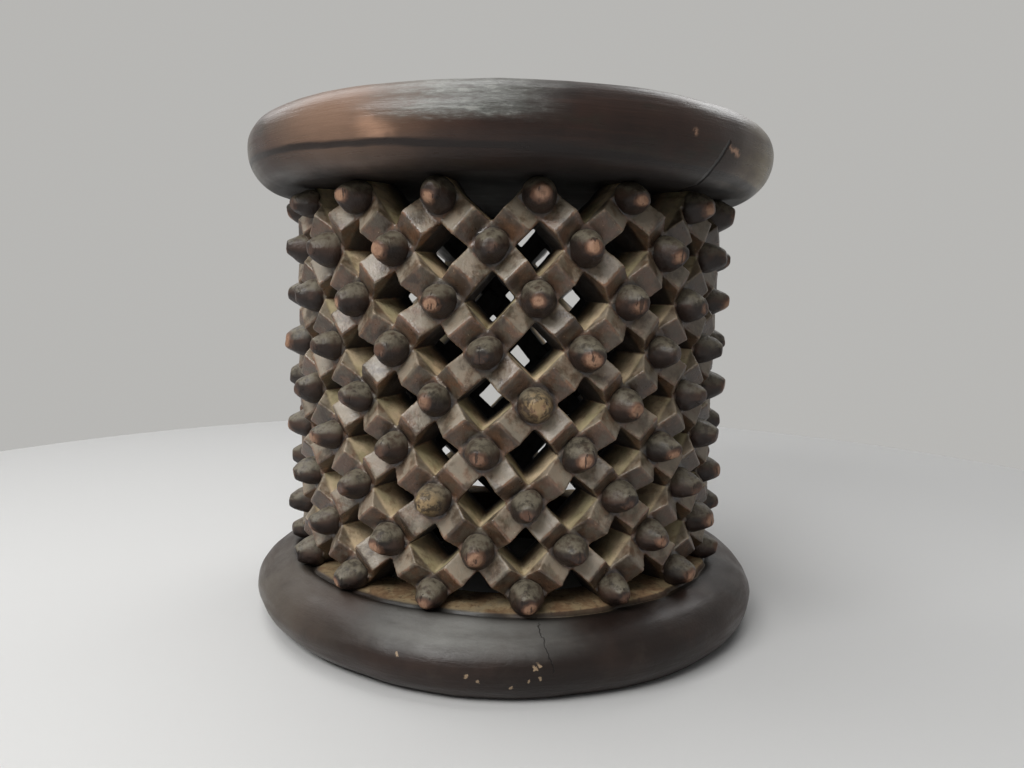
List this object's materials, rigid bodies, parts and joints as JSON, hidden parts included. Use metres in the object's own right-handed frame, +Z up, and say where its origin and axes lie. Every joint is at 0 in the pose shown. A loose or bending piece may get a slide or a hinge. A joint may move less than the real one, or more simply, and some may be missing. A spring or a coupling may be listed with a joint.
{
  "type": "carved openwork drum table",
  "caption": "Round drum-shaped stool or side table in dark carved wood: thick rounded seat and base ring joined by an openwork wall of crossed, ridged struts with round studs.",
  "frame": {"origin": "centre of the base ring's underside, on the surface that the table stands on", "axes": "+Z up along the table's round axis; a column of studs faces -Y, and another faces +X"},
  "size_m": [0.444, 0.444, 0.4116],
  "materials": {
    "seat_wood": "oiled and polished by use",
    "base_wood": "oiled, worn, slightly dusty",
    "wall_wood": "hand carved, dusty in the hollows",
    "stud_wood": "hand carved, worn bare at the tips"
  },
  "bodies": {
    "root": {"base_ring": "base_wood", "crossings_row_1": "wall_wood", "studs_row_1": "stud_wood", "crossings_row_2": "wall_wood", "studs_row_2": "stud_wood", "crossings_row_3": "wall_wood", "studs_row_3": "stud_wood", "crossings_row_4": "wall_wood", "studs_row_4": "stud_wood", "crossings_row_5": "wall_wood", "studs_row_5": "stud_wood", "crossings_row_6": "wall_wood", "studs_row_6": "stud_wood", "crossings_row_7": "wall_wood", "studs_row_7": "stud_wood", "crossings_row_8": "wall_wood", "studs_row_8": "stud_wood", "crossings_row_9": "wall_wood", "studs_row_9": "stud_wood", "right_struts_1": "wall_wood", "left_struts_1": "wall_wood", "right_struts_2": "wall_wood", "left_struts_2": "wall_wood", "right_struts_3": "wall_wood", "left_struts_3": "wall_wood", "right_struts_4": "wall_wood", "left_struts_4": "wall_wood", "right_struts_5": "wall_wood", "left_struts_5": "wall_wood", "right_struts_6": "wall_wood", "left_struts_6": "wall_wood", "right_struts_7": "wall_wood", "left_struts_7": "wall_wood", "right_struts_8": "wall_wood", "left_struts_8": "wall_wood", "seat_slab": "seat_wood"}
  },
  "joints": []
}
